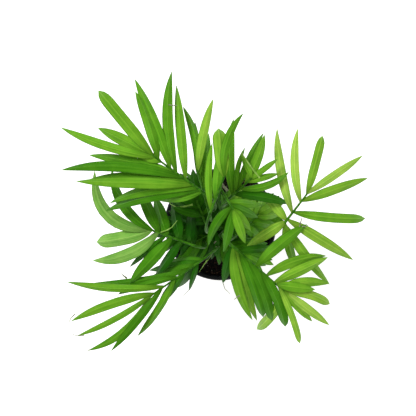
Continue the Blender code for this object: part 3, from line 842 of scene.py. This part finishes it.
def nodeName(frond, organ):
    if frond["name"].startswith("young_"):
        return "young_" + organ + frond["name"].removeprefix("young")
    return organ + "_" + frond["name"]


petioles = bakeNodes(curveObject("petioleLines", [petioleStrand(f) for f in fronds]),
                     stalkTree(petioleMaterial), {"Sides": stalk["sides"]}, "petioles")
ribStrands = []
for frond in fronds:
    path, steps, radii = fineStalk(frond)
    ribStrands.append(list(zip(path[steps - 1:], radii[steps - 1:])))
ribs = bakeNodes(curveObject("ribLines", ribStrands), stalkTree(ribMaterial),
                 {"Sides": stalk["ribSides"]}, "ribs")
print("stalks made")

leafPieces = []
for frond in fronds:
    piece = buildLeaflets(frond)
    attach(piece, "root")
    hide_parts(nodeName(frond, "frond"))
    leafPieces.append(piece)
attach(petioles, "root")
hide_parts(*[nodeName(frond, "petiole") for frond in fronds])
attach(ribs, "root")
print("leaflets made:", sum(len(p.data.polygons) for p in leafPieces), "faces")


# dried tails and scraps on the leaflets, and pale strands: shoots and leaf edges seen on edge,
# made pale partly as a painted highlight where an edge catches the light: radii, then places

wisps = dict(
    dry=[
        (0.6, 0.25, [(-146.5, -88.5, 197), (-151, -93, 194), (-153.5, -98, 190)]),
        (0.6, 0.25, [(-137, -109, 202.5), (-144, -110, 199), (-149.5, -108.5, 196)]),
        (0.55, 0.25, [(-130, -123.5, 200), (-133, -124, 199.5), (-135, -123.5, 198.5)]),
        (0.4, 0.2, [(-30, -57.5, 198), (-33, -65, 193), (-38.5, -71, 186)]),
        (0.4, 0.2, [(0.5, -53, 232.5), (3, -61, 226), (8, -66.5, 219)]),
        (0.7, 0.25, [(16.5, -65.5, 257.5), (13.5, -68, 256), (11.5, -69.5, 257)]),
        (1.0, 0.2, [(-93, -51, 222.5), (-96, -48.5, 224.5), (-98.5, -46, 226)]),
        (0.65, 0.3, [(74, 0, 253.5), (75, 5, 258), (75.5, 8, 261)]),
        (0.65, 0.25, [(76.5, 0, 254), (79.5, 0, 256), (82, 1.5, 257.5)]),
        (0.5, 0.35, [(-50, 113.5, 288), (-46, 113, 286), (-42.5, 113, 284.5)]),
        (1.4, 0.9, [(5, 34, 270.5), (1, 38.5, 273.5), (-2, 43, 276)]),
        (0.9, 0.4, [(-7.5, -18, 175), (-6.5, -17, 176.5), (-5, -16, 177)]),
        (1.1, 0.4, [(-5.5, -21.5, 172.5), (-3.5, -22, 174), (-1.5, -22, 173.5)])],
    pale=[
        (1.1, 0.4, [(35, 46, 274), (28, 54.5, 277.5), (19.5, 66.5, 281), (18, 69, 281.5)]),
        (0.95, 0.35, [(-28.5, 21, 218), (-37, 19, 219), (-45, 18.5, 214), (-50.5, 21.5, 206),
                      (-52.5, 25, 203)]),
        (0.75, 0.35, [(-59.5, -6, 227.5), (-53.5, -4, 229), (-48.5, -1, 229.5), (-43.5, 5.5, 226)]),
        (1.0, 0.3, [(-7.5, -26.5, 148.5), (-12.5, -33.5, 164), (-17.5, -40, 175), (-22.5, -47, 186)])])


def taperedStrand(first, last, places):
    share = 1.0 / (len(places) - 1)
    return [(place, first + (last - first) * k * share) for k, place in enumerate(places)]


for kind, material in (("dry", dryTip), ("pale", shootHighlightMaterial)):
    strands = [taperedStrand(*wisp) for wisp in wisps[kind]]
    piece = bakeNodes(curveObject(kind + "WispLines", strands), stalkTree(material),
                      {"Sides": stalk["wispSides"]}, kind + "Wisps")
    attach(piece, "root")


# pot: a plain tapered nursery pot with a rolled rim

pot = dict(height=105.0, rimRadius=60.0, rimDepth=9.0, topRadius=57.6, baseRadius=42.0, wall=1.6,
           floor=2.2, sides=112, recess=0.9, footRing=5.0, footRound=1.4, footStep=12.0,
           groove=0.75, grooveHeight=3.6, wallSteps=8,
           lipRound=0.9, rimRound=1.1, drainCount=6, drainRadius=4.0, drainCircle=29.0,
           drainSides=24)


def potMaterial():
    graph = Graph("potPlastic")
    fine = graph.grain(420.0, 3.0)
    scuff = graph.grain(38.0, 4.0, (1.0, 1.0, 0.35))
    colour = graph.blend(graph.ramp(scuff, 0.45, 0.75), (0.0065, 0.0075, 0.0125),
                         (0.016, 0.019, 0.030))
    graph.coat(colour, graph.ramp(scuff, 0.3, 0.7, 0.34, 0.52))
    graph.relief(fine, 0.00012, 0.35)
    return graph.material


def latheBmesh(profile, sides):
    bm = bmesh.new()
    rings = []
    for radius, height in profile:
        if radius < 1e-6:
            rings.append([bm.verts.new((0, 0, height * mm))])
            continue
        rings.append([bm.verts.new((radius * mm * math.cos(2 * math.pi * k / sides),
                                    radius * mm * math.sin(2 * math.pi * k / sides),
                                    height * mm)) for k in range(sides)])
    for low, high in zip(rings, rings[1:]):
        for k in range(sides):
            j = (k + 1) % sides
            if len(low) == 1:
                bm.faces.new((low[0], high[k], high[j]))
            elif len(high) == 1:
                bm.faces.new((low[k], low[j], high[0]))
            else:
                bm.faces.new((low[k], low[j], high[j], high[k]))
    return bm


def outsideRadius(height):
    return pot["baseRadius"] + (pot["topRadius"] - pot["baseRadius"]) * height / pot["height"]


def buildPot():
    base, rim, wall, floor = pot["baseRadius"], pot["rimRadius"], pot["wall"], pot["floor"]
    height = pot["height"]
    lip = height - pot["rimDepth"]
    recess, ring, bend = pot["recess"], pot["footRing"], pot["footRound"]
    profile = [(0, recess), (base - ring - 1.0, recess), (base - ring, 0.0), (base - bend, 0.0),
               (base - 0.4, 0.4), (base, bend)]
    # a shallow step round the foot and another under the rim
    step, groove = pot["footStep"], pot["groove"]
    profile += [(outsideRadius(step) - 0.15, step), (outsideRadius(step) - groove, step + 0.5),
                (outsideRadius(step + 3) - groove, step + 3.0),
                (outsideRadius(step + 3.4), step + pot["grooveHeight"])]
    for k in range(1, pot["wallSteps"] + 1):
        rise = step + pot["grooveHeight"] + (lip - 1.2 - step - pot["grooveHeight"]) * k / pot["wallSteps"]
        profile.append((outsideRadius(rise), rise))
    for k in range(5):
        angle = math.pi * k / 8
        profile.append((rim - pot["lipRound"] + pot["lipRound"] * math.sin(angle),
                        lip + pot["lipRound"] - pot["lipRound"] * math.cos(angle)))
    for k in range(9):
        angle = math.pi * k / 8
        profile.append((rim - pot["rimRound"] + pot["rimRound"] * math.cos(angle),
                        height - pot["rimRound"] + pot["rimRound"] * math.sin(angle)))
    inner = pot["topRadius"] - wall
    profile += [(rim - 2.3, height - 1.9), (inner + 0.5, height - 2.6), (inner, height - 3.6),
                (outsideRadius(floor + 2) - wall, floor + 2.0),
                (outsideRadius(floor) - wall - 1.6, floor), (0, floor)]
    piece = pieceFromBmesh("potShell", latheBmesh(profile, pot["sides"]), [potMaterial()], sharp=38)
    group = bpy.data.collections.new("drainCutters")
    bpy.context.scene.collection.children.link(group)
    for k in range(pot["drainCount"]):
        angle = 2 * math.pi * (k + 0.5) / pot["drainCount"]
        bm = latheBmesh([(0, -3), (pot["drainRadius"], -3), (pot["drainRadius"], 6), (0, 6)],
                        pot["drainSides"])
        bmesh.ops.translate(bm, verts=bm.verts, vec=(pot["drainCircle"] * mm * math.cos(angle),
                                                     pot["drainCircle"] * mm * math.sin(angle), 0))
        group.objects.link(pieceFromBmesh("drainCutter", bm, []))
    modifier = piece.modifiers.new("drainHoles", "BOOLEAN")
    modifier.operation = "DIFFERENCE"
    modifier.operand_type = "COLLECTION"
    modifier.collection = group
    modifier.solver = "EXACT"
    mesh = plainMesh(piece, "potShell")
    piece.modifiers.clear()
    piece.data = mesh
    for cutter in list(group.objects):
        bpy.data.objects.remove(cutter)
    bpy.data.collections.remove(group)
    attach(piece, "root")
    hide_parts("pot")


buildPot()
print("pot made")


# soil: an uneven bed with crumbs, bark fibres and a little grit

soil = dict(top=palm["soilTop"], rings=40, sides=120, lumps=1.1, broadGrain=0.13, broadLift=0.9,
            fineGrain=0.45, fineLift=0.55, gap=0.35, crumbDepth=3.0, crumbDensity=420000.0,
            crumbSize=0.00085, crumbGrowth=2.2, crumbSizes=(1.35, 0.45),
            crumbShapes=((0.7, 0.5, 0.45), (1.5, 1.0, 0.9)), lumpDensity=70000.0,
            lumpSize=0.00125, fibreDepth=2.2, fibreDensity=34000.0, fibreLength=0.0058,
            fibreLengths=(0.35, 1.3), fibreTilts=((-0.25, -0.30, 0), (0.25, 0.30, 6.28)),
            fibreRadius=0.00021, fibreBend=0.0040, seed=11)


def soilMaterial(name, low, high, specks):
    graph = Graph(name)
    rough = graph.grain(700.0, 4.0, roughness=0.7)
    broad = graph.grain(130.0, 3.0)
    tone = graph.node("ShaderNodeAttribute", attribute_name="tone").outputs["Fac"]
    mix = graph.math("ADD", graph.math("MULTIPLY", tone, 0.75),
                     graph.math("MULTIPLY", broad, 0.30), clamp=True)
    colour = graph.blend(graph.ramp(mix, 0.35, 1.0), low, high)
    colour = graph.blend(graph.ramp(tone, 0.955, 0.965, 0.0, 1.0), colour, specks)
    graph.coat(colour, 0.78, 0.15)
    graph.relief(rough, 0.0006, 0.8)
    return graph.material


soilFinish = soilMaterial("soilCrumb", (0.0012, 0.0009, 0.0008), (0.030, 0.016, 0.011),
                          (0.16, 0.14, 0.12))
lumpFinish = soilMaterial("soilLump", (0.0030, 0.0018, 0.0015), (0.085, 0.046, 0.032),
                          (0.26, 0.23, 0.19))
fibreFinish = soilMaterial("barkFibre", (0.020, 0.009, 0.005), (0.130, 0.058, 0.034),
                           (0.24, 0.17, 0.12))


def soilBed():
    low = pot["floor"] + 0.3
    bottom = outsideRadius(low) - pot["wall"] - 0.4
    edge = outsideRadius(soil["top"]) - pot["wall"] - soil["gap"]
    profile = [(0, low), (bottom - 2.5, low), (bottom + 0.4, low + 6)]
    profile += [(edge - 0.4, soil["top"] - 4), (edge, soil["top"] - 1.6)]
    for k in range(soil["rings"] + 1):
        radius = (edge - 0.6) * (1 - k / soil["rings"])
        profile.append((radius, soil["top"] - 0.9 * (radius / edge) ** 6))
    bm = latheBmesh(profile, soil["sides"])
    for vert in bm.verts:
        if vert.co.z > (soil["top"] - 1.2) * mm:
            spot = vert.co / mm
            bump = (noise.noise(spot * soil["broadGrain"]) * soil["broadLift"]
                    + noise.noise(spot * soil["fineGrain"]) * soil["fineLift"])
            fade = 1 - min(1.0, (spot.xy.length / edge) ** 8)
            vert.co.z += (soil["lumps"] * bump * fade - 0.5) * mm
    return pieceFromBmesh("soilBed", bm, [soilFinish], sharp=60)


def calc(tree, operation, *values):
    inputs = {"i%d" % k: value for k, value in enumerate(values)}
    return addNode(tree, "ShaderNodeMath", {"operation": operation}, **inputs)


def anyNumber(tree, low, high, seed):
    return addNode(tree, "FunctionNodeRandomValue", {"data_type": "FLOAT"}, i2=low, i3=high,
                   Seed=seed).outputs[1]


def anyVector(tree, low, high, seed):
    return addNode(tree, "FunctionNodeRandomValue", {"data_type": "FLOAT_VECTOR"}, i0=low, i1=high,
                   Seed=seed)


def scatterTree(name, size, depth):
    tree, source, sink = newTree(name, [
        ("Density", "NodeSocketFloat", 100000.0), (size, "NodeSocketFloat", 0.001),
        ("Seed", "NodeSocketInt", 1), ("Material", "NodeSocketMaterial", None)])
    place = tree.nodes.new("GeometryNodeInputPosition")
    apart = addNode(tree, "ShaderNodeSeparateXYZ", Vector=place)
    upper = addNode(tree, "FunctionNodeCompare", {"data_type": "FLOAT", "operation": "GREATER_THAN"},
                    i0=apart.outputs[2], i1=(soil["top"] - depth) * mm)
    scatter = addNode(tree, "GeometryNodeDistributePointsOnFaces",
                      Mesh=source.outputs["Geometry"], Selection=upper,
                      Density=source.outputs["Density"], Seed=source.outputs["Seed"])
    return tree, source.outputs, sink, scatter.outputs["Points"]


def tonedPieces(tree, instances, seed):
    mark = addNode(tree, "GeometryNodeStoreNamedAttribute", {"data_type": "FLOAT", "domain": "INSTANCE"},
                   Geometry=instances, Name="tone", Value=anyNumber(tree, 0.0, 1.0, seed))
    return addNode(tree, "GeometryNodeRealizeInstances", Geometry=mark)


def crumbTree():
    tree, source, sink, points = scatterTree("soilCrumbs", "Size", soil["crumbDepth"])
    lump = addNode(tree, "GeometryNodeMeshIcoSphere", Radius=1.0, Subdivisions=1)
    spin = anyVector(tree, (0, 0, 0), (6.28, 6.28, 6.28), source["Seed"])
    spread = calc(tree, "POWER", anyNumber(tree, 0.0, 1.0, 5), soil["crumbGrowth"])
    grow = calc(tree, "MULTIPLY_ADD", spread, *soil["crumbSizes"])
    scale = calc(tree, "MULTIPLY", grow, source["Size"])
    size = addNode(tree, "ShaderNodeVectorMath", {"operation": "SCALE"},
                   i0=anyVector(tree, *soil["crumbShapes"], 9), Scale=scale)
    crumbs = addNode(tree, "GeometryNodeInstanceOnPoints", Points=points,
                     Instance=lump, Rotation=spin, Scale=size)
    plain = tonedPieces(tree, crumbs, 3)
    return finishTree(tree, sink, plain, source["Material"])


def fibreTree():
    tree, source, sink, points = scatterTree("barkFibres", "Length", soil["fibreDepth"])
    strand = addNode(tree, "GeometryNodeCurvePrimitiveLine", Start=(-0.5, 0, 0), End=(0.5, 0, 0))
    finer = addNode(tree, "GeometryNodeResampleCurve", Curve=strand, Count=6)
    reach = calc(tree, "MULTIPLY", anyNumber(tree, *soil["fibreLengths"], 13), source["Length"])
    strands = addNode(tree, "GeometryNodeInstanceOnPoints", Points=points,
                      Instance=finer, Rotation=anyVector(tree, *soil["fibreTilts"], 21),
                      Scale=reach)
    plain = tonedPieces(tree, strands, 4)
    where = tree.nodes.new("GeometryNodeInputPosition")
    drift = addNode(tree, "ShaderNodeTexNoise", {"noise_dimensions": "3D"}, Vector=where,
                    Scale=330.0, Detail=1.0)
    centred = addNode(tree, "ShaderNodeVectorMath", {"operation": "SUBTRACT"},
                      i0=drift.outputs["Color"], i1=(0.5, 0.5, 0.42))
    small = addNode(tree, "ShaderNodeVectorMath", {"operation": "SCALE"}, i0=centred,
                    Scale=soil["fibreBend"])
    bent = addNode(tree, "GeometryNodeSetPosition", Geometry=plain, Offset=small)
    thin = addNode(tree, "GeometryNodeSetCurveRadius", Curve=bent, Radius=1.0)
    sweep = sweptTube(tree, thin, 4, soil["fibreRadius"])
    return finishTree(tree, sink, sweep, source["Material"])


def scatterOnSoil(bed, tree, name, seedStep, material, **sizes):
    values = dict(sizes, Seed=soil["seed"] + seedStep, Material=material)
    piece = bakeNodes(linkObject(name + "Carrier", bed.data.copy()), tree, values, name)
    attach(piece, "root")
    return piece


bed = soilBed()
crumbNodes = crumbTree()
crumbs = scatterOnSoil(bed, crumbNodes, "soilCrumbs", 0, soilFinish,
                       Density=soil["crumbDensity"], Size=soil["crumbSize"])
lumps = scatterOnSoil(bed, crumbNodes, "soilLumps", 5, lumpFinish,
                      Density=soil["lumpDensity"], Size=soil["lumpSize"])
fibres = scatterOnSoil(bed, fibreTree(), "barkFibres", 2, fibreFinish,
                       Density=soil["fibreDensity"], Length=soil["fibreLength"])
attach(bed, "root")
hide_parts("soil")
print("soil made:", [len(piece.data.polygons) for piece in (crumbs, lumps, fibres)], "faces")


# canes: short green stems with raised rings

cane = dict(sides=28, ringHeights=(0.30, 0.64), ringBulge=0.45, taper=0.35, stain=15.0)


def caneMaterial():
    graph = Graph("caneGreen")
    height = graph.parts(graph.node("ShaderNodeTexCoord").outputs["Object"])[2]
    streaks = graph.grain(300.0, 3.0, (1.0, 1.0, 0.15))
    soilTop = palm["soilTop"] * mm
    low = graph.ramp(height, soilTop, soilTop + cane["stain"] * mm, 1.0, 0.0)
    colour = graph.blend(graph.ramp(streaks, 0.35, 0.65), (0.045, 0.105, 0.014), (0.12, 0.21, 0.04))
    colour = graph.blend(graph.math("MULTIPLY", low, 0.7), colour, (0.09, 0.06, 0.03))
    graph.coat(colour, graph.ramp(streaks, 0.3, 0.7, 0.42, 0.62))
    graph.relief(streaks, 0.0004, 0.5)
    return graph.material


def buildCanes():
    bm = bmesh.new()
    for _, x, y, height in canes:
        foot = palm["soilTop"] - 2.5
        profile = [(0, foot), (palm["caneRadius"] + 0.35, foot), (palm["caneRadius"] + 0.15, foot + 4)]
        for share in cane["ringHeights"]:
            ring = palm["soilTop"] + height * share
            radius = palm["caneRadius"] - cane["taper"] * share
            profile += [(radius - 0.05, ring - 1.6), (radius + cane["ringBulge"] * 0.8, ring - 0.5),
                        (radius + cane["ringBulge"], ring), (radius + 0.1, ring + 0.7),
                        (radius - 0.15, ring + 1.6)]
        top = palm["soilTop"] + height
        profile += [(palm["caneRadius"] - cane["taper"], top - 1.5),
                    (palm["caneRadius"] - cane["taper"] - 0.6, top - 0.4),
                    (palm["caneRadius"] - 1.8, top), (0, top + 0.2)]
        stem = latheBmesh(profile, cane["sides"])
        bmesh.ops.translate(stem, verts=stem.verts, vec=(x * mm, y * mm, 0))
        part = bpy.data.meshes.new("caneStem")
        stem.to_mesh(part)
        stem.free()
        bm.from_mesh(part)
        bpy.data.meshes.remove(part)
    piece = pieceFromBmesh("canes", bm, [caneMaterial()], sharp=45)
    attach(piece, "root")
    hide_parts(*["cane_" + name for name, *_ in canes])


buildCanes()
print("canes made")
